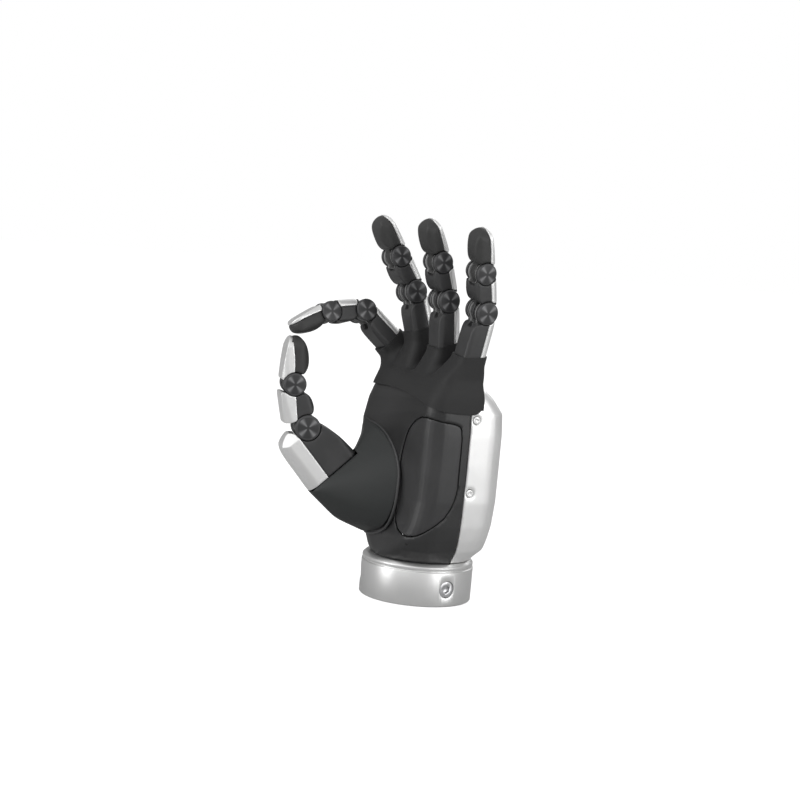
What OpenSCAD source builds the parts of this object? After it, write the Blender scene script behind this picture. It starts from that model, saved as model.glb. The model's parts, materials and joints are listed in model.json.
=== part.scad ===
// Dexterous robot hand: a left hand, palm towards -Y, fingers along +Z, thumb on the -X side.
// The origin is the centre of the wrist flange's lower face. Its pose is a pinch of thumb and index.
// Every finger link has its own frame: joint axis along X, the link along +Z, palmar side -Y.

/* [Wrist] */
// Outer diameter of the wrist flange
flange_d = 64; // [62:0.5:72]
// Height of the wrist flange
flange_h = 24; // [22:0.5:34]
// Thickness of the flange's bottom plate
plate_t = 7; // [6:0.5:9]
// Diameter of the circle of mounting holes
bolt_circle_d = 50; // [46:1:52]
// Number of mounting holes
bolt_count = 4; // [3:1:6]
// Core diameter of an M6 mounting thread
bolt_core_d = 5; // [4:0.1:6]
// Diameter of the centring bore
centring_d = 31.5; // [25:0.5:36]
// Bore of the flange that takes the hand's spigot
spigot_bore_d = 52; // [48:0.5:54]
// Number of radial clamp screws
clamp_count = 3; // [3:1:4]

/* [Palm] */
// Half width of the palm
palm_half_w = 38.5; // [37.5:0.25:41]
// Height of the top of the shells above the lower face
shell_top_z = 124; // [121:0.5:126]
// Depth of the palm behind the wrist axis
palm_back_y = 31; // [30:0.25:34]
// Depth of the palm in front of the wrist axis, little finger side
palm_front_y = 20.5; // [19:0.25:22]
// Depth of the palm in front of the wrist axis, thumb side
thenar_front_y = 26.2; // [25:0.2:27]
// Place of the parting plane between the two shells
parting_y = 4.5; // [3.5:0.25:5.5]
// Wall of the two shells
shell_wall = 2; // [1.6:0.1:2.6]
// Outer face of the knuckle skin above the shell
skin_step = 1.8; // [1.2:0.1:2.4]

/* [Fingers] */
// Length of a finger's proximal link
proximal_len = 44; // [42:0.5:50]
// Length of a finger's middle link
middle_len = 22; // [21:0.5:26]
// Length from the end joint to the fingertip
distal_len = 25; // [24:0.5:30]
// Width of a finger link
link_w = 14.6; // [14:0.1:15]
// Width over the hinge discs of the middle joint
pip_w = 15.5; // [15:0.1:16]
// Width over the hinge discs of the end joint
dip_w = 14.6; // [14.2:0.1:15.5]
// Diameter of the hinge discs of the middle joint
pip_disc_d = 12.8; // [12:0.1:13.2]
// Diameter of the hinge discs of the end joint
dip_disc_d = 12; // [11.2:0.1:12.4]
// Thickness of a hinge disc
disc_t = 2.1; // [1.8:0.1:2.4]
// Diameter of the hinge pins
pin_d = 4; // [3:0.25:4.5]

/* [Finger places and pose] */
// Distances of the knuckles from the wrist axis, index to little
knuckle_x = [-29, -11.3, 10, 30.3]; // [-31:0.1:31]
// Heights of the knuckles above the lower face, index to little
knuckle_z = [129, 130.3, 126.8, 124]; // [123:0.1:131]
// Splay of the fingers from upright, index to little
splay = [-12, -6, 1, 7]; // [-12:0.5:8]
// Flexion of the knuckles at rest, index to little
knuckle_flex = [47, 15, 6, -7.5]; // [-8:0.5:50]
// Flexion of the middle joints at rest, index to little
pip_flex = [48, 14, 10.5, 18.5]; // [5:0.5:50]
// Flexion of the end joints at rest, index to little
dip_flex = [17, -2, 4, -2]; // [-4:0.5:20]
// Lengths of the rubber sleeves along the fingers, index to little
sleeve_len = [20, 22.5, 19, 17.5]; // [17:0.5:24]

/* [Thumb] */
// Place of the thumb's turning axis along X
thumb_axis_x = -18.5; // [-19.5:0.25:-17.5]
// Place of the thumb's turning axis along Y
thumb_axis_y = -15.8; // [-16.5:0.25:-15]
// Angle of the thumb's plane from -Y towards -X
thumb_turn = 14; // [10:0.5:18]
// Radius of the thumb's turning hub
hub_r = 9; // [8:0.5:10]
// Lower end of the thumb hub
hub_z0 = 44; // [42:0.5:46]
// Upper end of the thumb hub
hub_z1 = 86; // [84:0.5:88]
// Distance of the thumb's root joint from the turning axis
root_out = 19; // [18:0.25:20]
// Height of the thumb's root joint
root_z = 57; // [55:0.5:59]
// Length of the thumb's metacarpal
meta_len = 46; // [45:0.5:48]
// Length of the thumb's proximal link
thumb_proximal_len = 25.8; // [25:0.2:27]
// Length from the thumb's end joint to its tip
thumb_distal_len = 26.8; // [26:0.2:26.8]
// Lean of the metacarpal away from upright
meta_lean = 41; // [39:0.5:44]
// Flexion of the thumb's middle joint at rest
thumb_mcp_flex = 20; // [16:0.5:24]
// Flexion of the thumb's end joint at rest
thumb_ip_flex = 15; // [12:0.5:18]

/* [Fits] */
// Running clearance between moving links
run_gap = 0.3; // [0.25:0.05:0.5]
// Radial clearance of a pin in its bore
pin_gap = 0.05; // [0.02:0.01:0.1]
// Seam between pieces of one link
seam = 0.05; // [0.02:0.01:0.15]

/* [Hidden] */
$fn = 48;

silver = "#c9cac9";
dark = "#3a3a3b";
rubber = "#2e2e2f";
steel = "#9a9b9d";

pin_r = pin_d / 2;
bore_r = pin_r + pin_gap;
flange_r = flange_d / 2;
spigot_bore_r = spigot_bore_d / 2;
far = 200;                                      // longer than the hand, for cutting shapes

// ---- shared shapes ----

// Point of a Catmull-Rom curve between b and c
function spline(a, b, c, d, t) =
    0.5 * (2 * b + (c - a) * t + (2 * a - 5 * b + 4 * c - d) * t * t + (3 * b - a - 3 * c + d) * t * t * t);
// Closed smooth outline through the points, with n steps between two of them
function smooth(p, n = 3) = let (m = len(p))
    [for (i = [0 : m - 1]) for (k = [0 : n - 1])
        spline(p[(i + m - 1) % m], p[i], p[(i + 1) % m], p[(i + 2) % m], k / n)];

// Rectangle with round corners
module round_rect(x0, x1, y0, y1, r) {
    translate([x0 + r, y0]) square([x1 - x0 - 2 * r, y1 - y0]);
    translate([x0, y0 + r]) square([x1 - x0, y1 - y0 - 2 * r]);
    for (x = [x0 + r, x1 - r], y = [y0 + r, y1 - r])
        translate([x, y]) circle(r);
}

// Outline in the (y, z) plane, drawn out to a width along X
module side(w, outline) rotate([90, 0, 90]) linear_extrude(w, center = true) polygon(outline);
// Outline in the (x, z) plane, drawn out from y0 to y1
module front(y0, y1, outline) translate([0, y1, 0]) rotate([90, 0, 0]) linear_extrude(y1 - y0) polygon(outline);
// Round bar along X, centred
module bar(r, w) rotate([0, 90, 0]) cylinder(r = r, h = w, center = true);
// Box from one corner to the other
module box(lo, hi) translate(lo) cube(hi - lo);
module both_sides() for (s = [0, 1]) mirror([s, 0, 0]) children();

// Hinge pin along X with a chamfered disc on each end, width w over the discs
module hinge_axle(disc_r, w) {
    bar(pin_r, w - 2 * disc_t + 0.2);
    both_sides() translate([w / 2 - disc_t, 0, 0]) rotate([0, 90, 0])
        rotate_extrude($fn = 64)
            polygon([[0, 0], [disc_r, 0], [disc_r, disc_t - 0.5], [disc_r - 0.5, disc_t], [0, disc_t]]);
}

// Cross-section of a link, from y0 on the palmar side to y1 on the back, with a corner radius on each
module link_section(w, y0, y1, r0, r1) {
    translate([r0 - w / 2, y0]) square([w - 2 * r0, r0]);
    translate([-w / 2, y0 + r0]) square([w, y1 - y0 - r0 - r1]);
    translate([r1 - w / 2, y1 - r1]) square([w - 2 * r1, r1]);
    for (s = [-1, 1]) {
        translate([s * (w / 2 - r0), y0 + r0]) circle(r0);
        translate([s * (w / 2 - r1), y1 - r1]) circle(r1);
    }
}
// Body of a link: a side outline with the cross-section [w, y0, y1, r0, r1]
module link_form(outline, c) intersection() {
    side(c[0], outline);
    translate([0, 0, -far / 2]) linear_extrude(far) link_section(c[0], c[1], c[2], c[3], c[4]);
}
// Space that a metal back cover takes: behind its edge line, round the core
module cover_zone(edge, core, c, grow) difference() {
    side(far, edge);
    link_form(core, [c[0] - 2 * cover_t + 2 * grow, -far / 4, c[2] - 0.6 + grow, 1, c[4] - cover_t + grow]);
}

// ---- finger links ----

cover_t = 1.3;                                  // thickness of a metal back cover
pip_r = pip_disc_d / 2;
dip_r = dip_disc_d / 2;
pip_cheek = pip_w / 2 - disc_t - seam;          // outer face of a fork cheek
dip_cheek = dip_w / 2 - disc_t - seam;
pip_slot = 2.2;                                 // half width of the slot between the cheeks
dip_slot = 3.2;
pip_plate = 1.1;                                // half width of the tongue in the slot
dip_plate = dip_slot - 0.5;
root_w = 9.2;                                   // width of a finger's root between its lugs
root_r = 6.2;

proximal_section = [link_w, -7, 7.8, 3.6, 4];
middle_section = [link_w - 0.4, -7.4, 7.2, 3.4, 3.8];
distal_section = [link_w - 0.8, -7.4, 6.4, 5.6, 4];
proximal_outline = smooth([
    [-6.3, 9], [-6.5, 18], [-6.4, 27], [-6, proximal_len - 11], [-4.2, proximal_len - 7.4],
    [0, proximal_len - 6], [4, proximal_len - 3.5], [6.1, proximal_len - 3.5],
    [7, proximal_len - 8], [7.4, 26], [7.6, 16], [7.6, 9], [5.2, 6.5], [-4.2, 6.5]
]);
middle_outline = smooth([
    [-3, 5.6], [-4.8, 7.6], [-6, 10.5], [-6.3, 14], [-5.9, 17.2], [-4.6, 19.2], [-2, 19.8], [4, 20],
    [6.1, 19.4], [6.5, 15], [6.8, 9], [6.5, 4.4], [4, 3.6], [-1, 4]
]);
distal_outline = smooth([
    [-3.2, 5], [-5.6, 8.2], [-6.6, 11.6], [-6.6, 15.6], [-5.5, 19.8], [-3.2, 23.4], [-0.3, 25.1],
    [2.1, 24.2], [3.5, 20.6], [4.7, 14], [5.6, 7.5], [5.7, 4], [3.4, 3], [-1, 3.6]
]);
proximal_edge = [[3.2, 8.5], [3, proximal_len - 7.6], [3.4, proximal_len + 6], [12, proximal_len + 6],
    [12, 8.5]];
middle_edge = [[2.8, 5.4], [2.4, 17], [12, 18], [12, 5.4]];
distal_edge = [[2.4, 5], [2.3, 12], [1.9, 18], [0.9, 23.4], [1.4, 30], [12, 30], [12, 5]];
proximal_core = [[-9, 0], [6, 0], [5.9, 26], [5.4, 60], [-9, 60]];
middle_core = [[-9, 0], [5.6, 0], [5.1, 30], [-9, 30]];
distal_core = [[-9, 0], [4.7, 0], [3.4, 14], [2.1, 20.6], [-0.4, 23], [-9, 23]];

module proximal_form() difference() {
    link_form(proximal_outline, proximal_section);
    translate([0, 0, proximal_len]) bar(pip_r + run_gap, far);
}
module proximal() color(dark) difference() {
    union() {
        difference() {
            proximal_form();
            cover_zone(proximal_edge, proximal_core, proximal_section, -seam);
        }
        bar(root_r, root_w);
        box([-root_w / 2, -4.8, 0], [root_w / 2, 4.8, 12]);
        translate([0, 0, proximal_len]) bar(pip_r - 0.2, 2 * pip_cheek);
        box([-pip_cheek, -4, proximal_len - 11], [pip_cheek, 4.6, proximal_len]);
    }
    bar(bore_r, far);
    translate([0, 0, proximal_len]) bar(bore_r, far);
    // slot for the next link's tongue, deeper on the palmar side
    box([-pip_slot, -9, proximal_len - pip_r - 0.6], [pip_slot, 9, proximal_len + 9]);
    box([-pip_slot, -9, proximal_len - pip_r - 3], [pip_slot, -2, proximal_len]);
}
module proximal_back() color(silver) intersection() {
    proximal_form();
    cover_zone(proximal_edge, proximal_core, proximal_section, 0);
}

module middle_form() difference() {
    link_form(middle_outline, middle_section);
    bar(pip_r + run_gap, far);
    translate([0, 0, middle_len]) bar(dip_r + run_gap, far);
}
module middle() color(dark) difference() {
    union() {
        difference() {
            middle_form();
            cover_zone(middle_edge, middle_core, middle_section, -seam);
        }
        // thin tongue between the discs of the middle joint
        bar(pip_r - 0.4, 2 * pip_plate);
        box([-pip_plate, -4.4, 0], [pip_plate, 5, 9]);
        // fork cheeks of the end joint
        translate([0, 0, middle_len]) bar(dip_r - 0.2, 2 * dip_cheek);
        box([-dip_cheek, -3.8, middle_len - 9], [dip_cheek, 4.4, middle_len]);
    }
    bar(bore_r, far);
    translate([0, 0, middle_len]) bar(bore_r, far);
    box([-dip_slot, -9, middle_len - dip_r - 0.4], [dip_slot, 9, middle_len + 9]);
}
module middle_back() color(silver) intersection() {
    middle_form();
    cover_zone(middle_edge, middle_core, middle_section, 0);
}

module distal_form() difference() {
    link_form(distal_outline, distal_section);
    // the tip narrows to a round end seen from the front
    difference() {
        box([-far, -far, distal_len - 7], [far, far, distal_len + 9]);
        translate([0, 0, distal_len - 7]) rotate([90, 0, 0]) cylinder(r = link_w / 2 - 0.4, h = far, center = true);
    }
    bar(dip_r + run_gap, far);
}
module distal() color(rubber) difference() {
    union() {
        difference() {
            distal_form();
            cover_zone(distal_edge, distal_core, distal_section, -seam);
        }
        bar(dip_r - 0.4, 2 * dip_plate);
        box([-dip_plate, -4, 0], [dip_plate, 3.4, 8]);
    }
    bar(bore_r, far);
}
module distal_back() color(silver) intersection() {
    distal_form();
    cover_zone(distal_edge, distal_core, distal_section, 0);
}
module pip_axle() color(dark) hinge_axle(pip_r, pip_w);
module dip_axle() color(dark) hinge_axle(dip_r, dip_w);

// Frames of finger i: its knuckle, its middle joint and its end joint
module at_splay(i) translate([knuckle_x[i], 0, knuckle_z[i]]) rotate([0, splay[i], 0]) children();
module at_knuckle(i) at_splay(i) rotate([knuckle_flex[i], 0, 0]) children();
module at_pip(i) at_knuckle(i) translate([0, 0, proximal_len]) children();
module at_middle(i) at_pip(i) rotate([pip_flex[i], 0, 0]) children();
module at_dip(i) at_middle(i) translate([0, 0, middle_len]) children();
module at_distal(i) at_dip(i) rotate([dip_flex[i], 0, 0]) children();

// ---- thumb links: drawn as finger links, palmar side -Y, then mirrored into the thumb's frame ----

mcp_disc_r = 7.3;
ip_disc_r = 6.5;
thumb_w = 16;                                   // width of the thumb's outer links
meta_w = 18;
thumb_mcp_w = 17;                               // width over the discs
thumb_ip_w = 16.4;
thumb_slot = 3.4;
thumb_plate = thumb_slot - 0.5;
mcp_cheek = thumb_mcp_w / 2 - disc_t - seam;
ip_cheek = thumb_ip_w / 2 - disc_t - seam;
root_pin_r = 3;
thumb_root_w = 15;                              // width of the metacarpal's root between the yoke arms
thumb_root_r = 11;
skin_end_z = 16.2;                              // where the thumb's rubber ends, on the link's axis
skin_lean = -3;

meta_section = [meta_w, -13.6, 20.6, 4, 7];
thumb_proximal_section = [thumb_w, -7.4, 12.2, 3.6, 5.4];
thumb_distal_section = [thumb_w - 0.4, -9.2, 7.8, 6, 4.6];
meta_outline = smooth([
    [-13, 15], [-12.8, 24], [-10.8, meta_len - 12], [-7.4, meta_len - 4], [-4, meta_len - 2],
    [2, meta_len - 3], [7, meta_len + 0.5], [10.2, meta_len + 3.6], [14, meta_len + 2.8],
    [17.6, meta_len + 0.4], [19.6, meta_len - 3.4], [20.3, meta_len - 10], [20.4, 24], [20.4, 15],
    [14, 11], [-6, 11]
]);
thumb_proximal_outline = smooth([
    [-4, 6.6], [-6, 8], [-7, 11], [-6.8, 15], [-5.2, 18.4], [-2, 19.4], [4, 21], [7.6, 23.6],
    [9.2, 23], [10.4, 17], [11.6, 10], [12, 6.4], [7, 5.4], [1, 6.4]
]);
thumb_distal_outline = smooth([
    [-4.6, 4.8], [-7.6, 8], [-8.9, 12], [-8.7, 17], [-7.2, 22], [-4.2, 26.4], [-0.6, 28],
    [1.6, 27], [3.6, 22.4], [5.6, 14], [6.8, 7.6], [7.4, 3.4], [4.4, 2.4], [-1, 3.6]
]);
meta_edge = [[7.3, 10], [7.3, meta_len - 2], [8.4, meta_len + 14], [25, meta_len + 14], [25, 10]];
thumb_proximal_edge = [[4.6, 5], [1.4, 19.6], [1.8, 30], [20, 30], [20, 5]];
thumb_distal_edge = [[0.4, 2], [-0.2, 10], [-0.2, 16], [0.2, 22], [0.4, 32], [12, 32], [12, 2]];
meta_core = [[-20, 0], [18.8, 0], [18.6, meta_len - 12], [17, meta_len - 6], [14, meta_len - 3.4],
    [-20, meta_len - 3]];
// The metacarpal's cover is bevelled on both sides of its upper end
meta_bevel = [[-12, -9], [12, -9], [12, meta_len - 5.5], [4, meta_len + 4], [-4, meta_len + 4],
    [-12, meta_len - 5.5]];
thumb_proximal_core = [[-12, 0], [10.6, 0], [10.3, 9], [8.8, 19], [8, 22], [-12, 22]];
thumb_distal_core = [[-12, 0], [6, 0], [4.3, 14], [2.2, 22.4], [0, 26], [-12, 26]];

// Everything past the rubber's edge across the metacarpal
module past_skin(z) translate([0, 0, z]) rotate([skin_lean, 0, 0]) box([-far, -far, 0], [far, far, far]);
module meta_form() difference() {
    intersection() {
        link_form(meta_outline, meta_section);
        past_skin(skin_end_z + run_gap);
    }
    translate([0, 0, meta_len]) bar(mcp_disc_r + run_gap, far);
}
module metacarpal() color(dark) difference() {
    union() {
        difference() {
            meta_form();
            cover_zone(meta_edge, meta_core, meta_section, -seam);
        }
        bar(thumb_root_r, thumb_root_w);
        box([-thumb_root_w / 2, -9, 0], [thumb_root_w / 2, thumb_root_r, skin_end_z + 4]);
        translate([0, 0, meta_len]) bar(mcp_disc_r - 0.2, 2 * mcp_cheek);
        box([-mcp_cheek, -4.6, meta_len - 12], [mcp_cheek, 5, meta_len]);
    }
    bar(root_pin_r + pin_gap, far);
    translate([0, 0, meta_len]) bar(bore_r, far);
    box([-thumb_slot, -far, meta_len - mcp_disc_r - 0.4], [thumb_slot, far, meta_len + 9]);
}
module metacarpal_back() color(silver) difference() {
    intersection() {
        meta_form();
        cover_zone(meta_edge, meta_core, meta_section, 0);
        front(-far, far, meta_bevel);
    }
    box([-thumb_slot, -9, meta_len - mcp_disc_r - 0.4], [thumb_slot, 9.4, meta_len + 9]);
}
module thumb_proximal_form() difference() {
    link_form(thumb_proximal_outline, thumb_proximal_section);
    bar(mcp_disc_r + run_gap, far);
    translate([0, 0, thumb_proximal_len]) bar(ip_disc_r + run_gap, far);
}
module thumb_mid() color(dark) difference() {
    union() {
        difference() {
            thumb_proximal_form();
            cover_zone(thumb_proximal_edge, thumb_proximal_core, thumb_proximal_section, -seam);
        }
        bar(mcp_disc_r - 0.4, 2 * thumb_plate);
        box([-thumb_plate, -4.6, 0], [thumb_plate, 6, 10]);
        translate([0, 0, thumb_proximal_len]) bar(ip_disc_r - 0.2, 2 * ip_cheek);
        box([-ip_cheek, -4, thumb_proximal_len - 10], [ip_cheek, 5, thumb_proximal_len]);
    }
    bar(bore_r, far);
    translate([0, 0, thumb_proximal_len]) bar(bore_r, far);
    box([-thumb_slot, -far, thumb_proximal_len - ip_disc_r - 0.4], [thumb_slot, far, thumb_proximal_len + 9]);
}
module thumb_mid_back() color(silver) difference() {
    intersection() {
        thumb_proximal_form();
        cover_zone(thumb_proximal_edge, thumb_proximal_core, thumb_proximal_section, 0);
    }
    box([-thumb_slot, -9, thumb_proximal_len - ip_disc_r - 0.4], [thumb_slot, 7.6, thumb_proximal_len + 9]);
}
module thumb_distal_form() difference() {
    link_form(thumb_distal_outline, thumb_distal_section);
    difference() {
        box([-far, -far, thumb_distal_len - 8], [far, far, thumb_distal_len + 9]);
        translate([0, 0, thumb_distal_len - 8]) rotate([90, 0, 0])
            cylinder(r = thumb_w / 2 + 0.3, h = far, center = true);
    }
    bar(ip_disc_r + run_gap, far);
}
module thumb_end() color(rubber) difference() {
    union() {
        difference() {
            thumb_distal_form();
            cover_zone(thumb_distal_edge, thumb_distal_core, thumb_distal_section, -seam);
        }
        bar(ip_disc_r - 0.4, 2 * thumb_plate);
        box([-thumb_plate, -4.4, 0], [thumb_plate, 4.6, 9]);
    }
    bar(bore_r, far);
}
module thumb_end_back() color(silver) intersection() {
    thumb_distal_form();
    cover_zone(thumb_distal_edge, thumb_distal_core, thumb_distal_section, 0);
}

// Frames of the thumb. Its closing side faces the palm, so its links are mirrored.
module at_hub() translate([thumb_axis_x, thumb_axis_y, 0]) rotate([0, 0, -thumb_turn]) children();
module at_thumb_root() at_hub() translate([0, -root_out, root_z]) rotate([meta_lean, 0, 0])
    mirror([0, 1, 0]) children();
module at_thumb_mcp() at_thumb_root() translate([0, 0, meta_len]) children();
module at_thumb_proximal() at_thumb_mcp() rotate([thumb_mcp_flex, 0, 0]) children();
module at_thumb_ip() at_thumb_proximal() translate([0, 0, thumb_proximal_len]) children();
module at_thumb_distal() at_thumb_ip() rotate([thumb_ip_flex, 0, 0]) children();

// Hub that turns about a vertical axis and carries the thumb's root joint in a yoke
arm_t = 3;
arm_x = thumb_root_w / 2 + run_gap;
trunnion_r = 5;
shelf_t = 4;
trunnion_h = run_gap + shelf_t - 0.3;
module thumb_hub() color(dark) at_hub() difference() {
    union() {
        translate([0, 0, hub_z0]) cylinder(r = hub_r, h = hub_z1 - hub_z0);
        translate([0, 0, hub_z0 - trunnion_h]) cylinder(r = trunnion_r, h = hub_z1 - hub_z0 + 2 * trunnion_h);
        both_sides() {
            translate([arm_x + arm_t / 2, -root_out, root_z]) bar(8, arm_t);
            box([arm_x, -root_out, root_z - 8], [arm_x + arm_t, 0, root_z + 8]);
            box([0, -hub_r / 2, root_z - 8], [arm_x + arm_t, hub_r / 2, root_z + 8]);
        }
    }
    translate([0, -root_out, root_z]) bar(root_pin_r + seam, far);
    translate([0, -root_out, root_z]) bar(thumb_root_r + run_gap, 2 * arm_x);
}
module thumb_root_axle() color(steel) at_hub() translate([0, -root_out, root_z]) {
    bar(root_pin_r, 2 * (arm_x + arm_t));
    both_sides() translate([arm_x + arm_t + 0.4, 0, 0]) bar(4.4, 0.8);
}

// ---- palm shells: sections lofted from the round neck to the knuckles ----

neck_r = 29;
thenar_r = 7.5;                                 // radius of the palm's front corner on the thumb's side
hw = palm_half_w;
pf = palm_front_y;
tf = thenar_front_y;
pb = palm_back_y;
// height, half width on each side (little finger, thumb), depth in front on each side, depth behind,
// and the corner radii in front on each side and behind
levels = [
    [flange_h, neck_r, neck_r - 2, neck_r - 0.6, neck_r - 1.6, neck_r, neck_r - 0.6, neck_r - 2, neck_r - 2],
    [flange_h + 3, hw - 7.4, neck_r, 28.2, 27.8, 29.4, 25, 25, 25],
    [flange_h + 8, hw - 3.8, neck_r + 2.6, 26.8, tf + 0.4, 30, 19, 20, 19],
    [flange_h + 14, hw - 2.2, hw - 4, 25.4, tf, pb - 0.8, 15, 15, 17],
    [flange_h + 22, hw - 1.1, hw - 1.7, 23.4, tf, pb - 0.4, 13, 12, 15],
    [flange_h + 36, hw - 0.2, hw, pf + 0.6, tf, pb, 12, 8, 14],
    [flange_h + 56, hw, hw, pf, tf, pb, 12, thenar_r, 14],
    [shell_top_z - 26, hw, hw, pf, tf, pb, 12, thenar_r, 14],
    [shell_top_z - 14, hw - 0.3, hw - 0.4, pf - 0.5, tf - 2.2, pb - 1.2, 11, 8, 13],
    [shell_top_z - 6, hw - 1.5, hw - 1.4, pf - 1.5, tf - 4.6, pb - 7.5, 10, 9, 12],
    [shell_top_z - 2, hw - 2.8, hw - 2.8, pf - 2.5, tf - 7, pb - 12.5, 8, 8, 9],
    [shell_top_z, hw - 4.5, hw - 4.5, pf - 4, tf - 9, pb - 15.5, 6, 6, 7]
];
arc_steps = 6;
function arc(cx, cy, r, a0, a1) =
    [for (k = [0 : arc_steps]) let (a = a0 + (a1 - a0) * k / arc_steps) [cx + r * cos(a), cy + r * sin(a)]];
// Front and back halves of a section, set in by d from the outer face
function front_half(s, d) = concat(
    [[s[1] - d, parting_y]],
    arc(s[1] - s[6], s[6] - s[3], s[6] - d, 0, -90),
    arc(s[7] - s[2], s[7] - s[4], s[7] - d, -90, -180),
    [[d - s[2], parting_y]]);
function back_half(s, d) = let (cy = s[5] - s[8], r = s[8] - d, a = asin(max(0, parting_y + 0.5 - cy) / r))
    concat([[d - s[2], parting_y]],
        arc(s[8] - s[2], cy, r, 180 - a, 90), arc(s[1] - s[8], cy, r, 90, a),
        [[s[1] - d, parting_y]]);
function reversed(p) = [for (i = [len(p) - 1 : -1 : 0]) p[i]];

// Solid through a list of closed outlines with as many points each, at the heights zs. The outline of a
// strip runs along it and back, so its ends are closed with a row of quads.
module loft(rings, zs, strip) {
    n = len(rings[0]);
    m = len(rings);
    points = [for (j = [0 : m - 1]) for (p = rings[j]) [p[0], p[1], zs[j]]];
    walls = [for (j = [0 : m - 2]) for (i = [0 : n - 1])
        let (a = j * n + i, b = j * n + (i + 1) % n) [a, b, b + n, a + n]];
    ends = strip ? [for (i = [0 : n / 2 - 2]) [i, i + 1, n - 2 - i, n - 1 - i]] : [[for (i = [0 : n - 1]) i]];
    polyhedron(points, concat(
        [for (w = walls) [w[2], w[1], w[0]]], [for (w = walls) [w[3], w[2], w[0]]],
        ends, [for (e = ends) reversed([for (i = e) (m - 1) * n + i])]));
}
zs = [for (s = levels) s[0]];
// Shell strips between two depths below the outer face
module front_strip(d0, d1)
    loft([for (s = levels) reversed(concat(front_half(s, d0), reversed(front_half(s, d1))))], zs, true);
module back_strip(d0, d1)
    loft([for (s = levels) reversed(concat(back_half(s, d0), reversed(back_half(s, d1))))], zs, true);
module palm_solid()
    loft([for (s = levels) reversed(concat(front_half(s, 0), back_half(s, 0)))], zs, false);

// Outline of the grip pad, seen along the diagonal of the palm's corner
pad_outline = smooth([
    [-8.4, 50], [-9, 66], [-8.6, 82], [-4.6, 98], [4, 106.4], [16, 105.6], [25, 103.4], [26.8, 97],
    [27, 84], [26.6, 66], [22.4, 52.4], [12, 42.6], [3, 39.6], [-5.4, 42]
], 3);
module pad_prism(grow) rotate([0, 0, 45]) front(-60, 5, [for (p = pad_outline)
    let (c = [10, 74]) c + (p - c) * (1 + grow / 30)]);

// Opening in the palm cover: for the thumb's hub in front, and for all that its yoke sweeps through
yoke_sweep_r = 23.8;
window_back_y = -4;
module thumb_window() translate([thumb_axis_x, thumb_axis_y, 0]) {
    translate([0, 0, hub_z0 - 0.6]) cylinder(r = hub_r + 0.8, h = hub_z1 - hub_z0 + 1.2);
    translate([0, 0, root_z - 12]) cylinder(r = yoke_sweep_r - 8, h = 24);
    intersection() {
        translate([0, 0, root_z - 12]) cylinder(r = yoke_sweep_r, h = 39);
        box([-far, -far, 0], [-6, window_back_y - thumb_axis_y, far]);
    }
}
// Notches in the shells round the knuckles' lugs and the fingers' roots, and room for bent fingers in front
module knuckle_notches() for (i = [0 : 3]) at_splay(i) {
    bar(root_r + 0.8, 2 * lug_out + 0.6);
    box([-lug_out - 0.3, -5.8, -20], [lug_out + 0.3, 5.8, 0]);
    box([-link_w / 2 - 3.8, -far, -link_w / 2 - 0.8], [link_w / 2 + 3.8, 0, 9]);
}

module palm_cover() color(dark) difference() {
    front_strip(0, shell_wall);
    pad_prism(0);
    thumb_window();
    knuckle_notches();
}
module palm_pad() color(rubber) intersection() {
    front_strip(0.7, shell_wall + 0.4);
    pad_prism(-0.2);
}
module back_shell() color(silver) {
    difference() {
        back_strip(0, shell_wall);
        for (z = screw_z) shell_screw_holes(z, 2.2);
        connector_hole(0.2);
        knuckle_notches();
    }
}
screw_z = [66, 107];
module shell_screw_holes(z, r) for (s = [-1, 1])
    translate([s * (hw + 1), parting_y + 3.4, z]) bar(r, 8);
module shell_screws() color(steel) for (z = screw_z, s = [-1, 1])
    translate([s * (hw - 0.9), parting_y + 3.4, z]) difference() {
        bar(2.1, 1.6);
        translate([s * 0.9, 0, 0]) rotate([0, 90, 0]) cylinder(r = 1, h = 1.2, center = true, $fn = 6);
    }

// ---- wrist ----

module connector_hole(grow) translate([0, 0, flange_h + 13]) rotate([-90, 0, 0]) cylinder(r = 5.2 + grow, h = 60);
module wrist_connector() color(steel) translate([0, 0, flange_h + 13]) rotate([-90, 0, 0])
    difference() {
        union() {
            translate([0, 0, palm_back_y - 9]) cylinder(r = 5.1, h = 9);
            translate([0, 0, palm_back_y - 9]) cylinder(r = 6.6, h = 5.6);
        }
        translate([0, 0, palm_back_y - 5]) cylinder(r = 3.9, h = 20);
    }

bolt_end = 6;                                   // room above the plate for the ends of the bolts
module bolt_holes(z, h, r) for (k = [0 : bolt_count - 1]) rotate([0, 0, 45 + k * 360 / bolt_count])
    translate([bolt_circle_d / 2, 0, z]) cylinder(r = r, h = h);

clamp_hole_r = 4.8;
clamp_head_r = 4.6;
clamp_head_h = 3.4;
clamp_shank_r = 2.2;
clamp_z = plate_t + 3;
clamp_angles = [for (k = [0 : clamp_count - 1]) 5 + k * 360 / clamp_count];
module at_clamps() for (a = clamp_angles) rotate([0, 0, a]) translate([0, 0, clamp_z]) children();
module wrist_flange() color(silver) difference() {
    rotate_extrude($fn = 96) polygon([
        [centring_d / 2, 0], [flange_r - 0.6, 0], [flange_r, 0.6], [flange_r, flange_h - 4.6],
        [flange_r - 0.8, flange_h - 4.2], [flange_r - 0.8, flange_h - 3.6],
        [flange_r - 0.3, flange_h - 3.2], [flange_r - 0.3, flange_h - 1.8],
        [flange_r - 2.2, flange_h], [spigot_bore_r, flange_h], [spigot_bore_r, plate_t],
        [centring_d / 2, plate_t]
    ]);
    bolt_holes(-1, plate_t + bolt_end + 1, bolt_core_d / 2);
    at_clamps() {
        translate([spigot_bore_r - 3, 0, 0]) rotate([0, 90, 0]) cylinder(r = clamp_shank_r + seam, h = 20);
        translate([flange_r - clamp_head_h, 0, 0]) rotate([0, 90, 0]) cylinder(r = clamp_hole_r, h = 10);
    }
}
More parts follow.
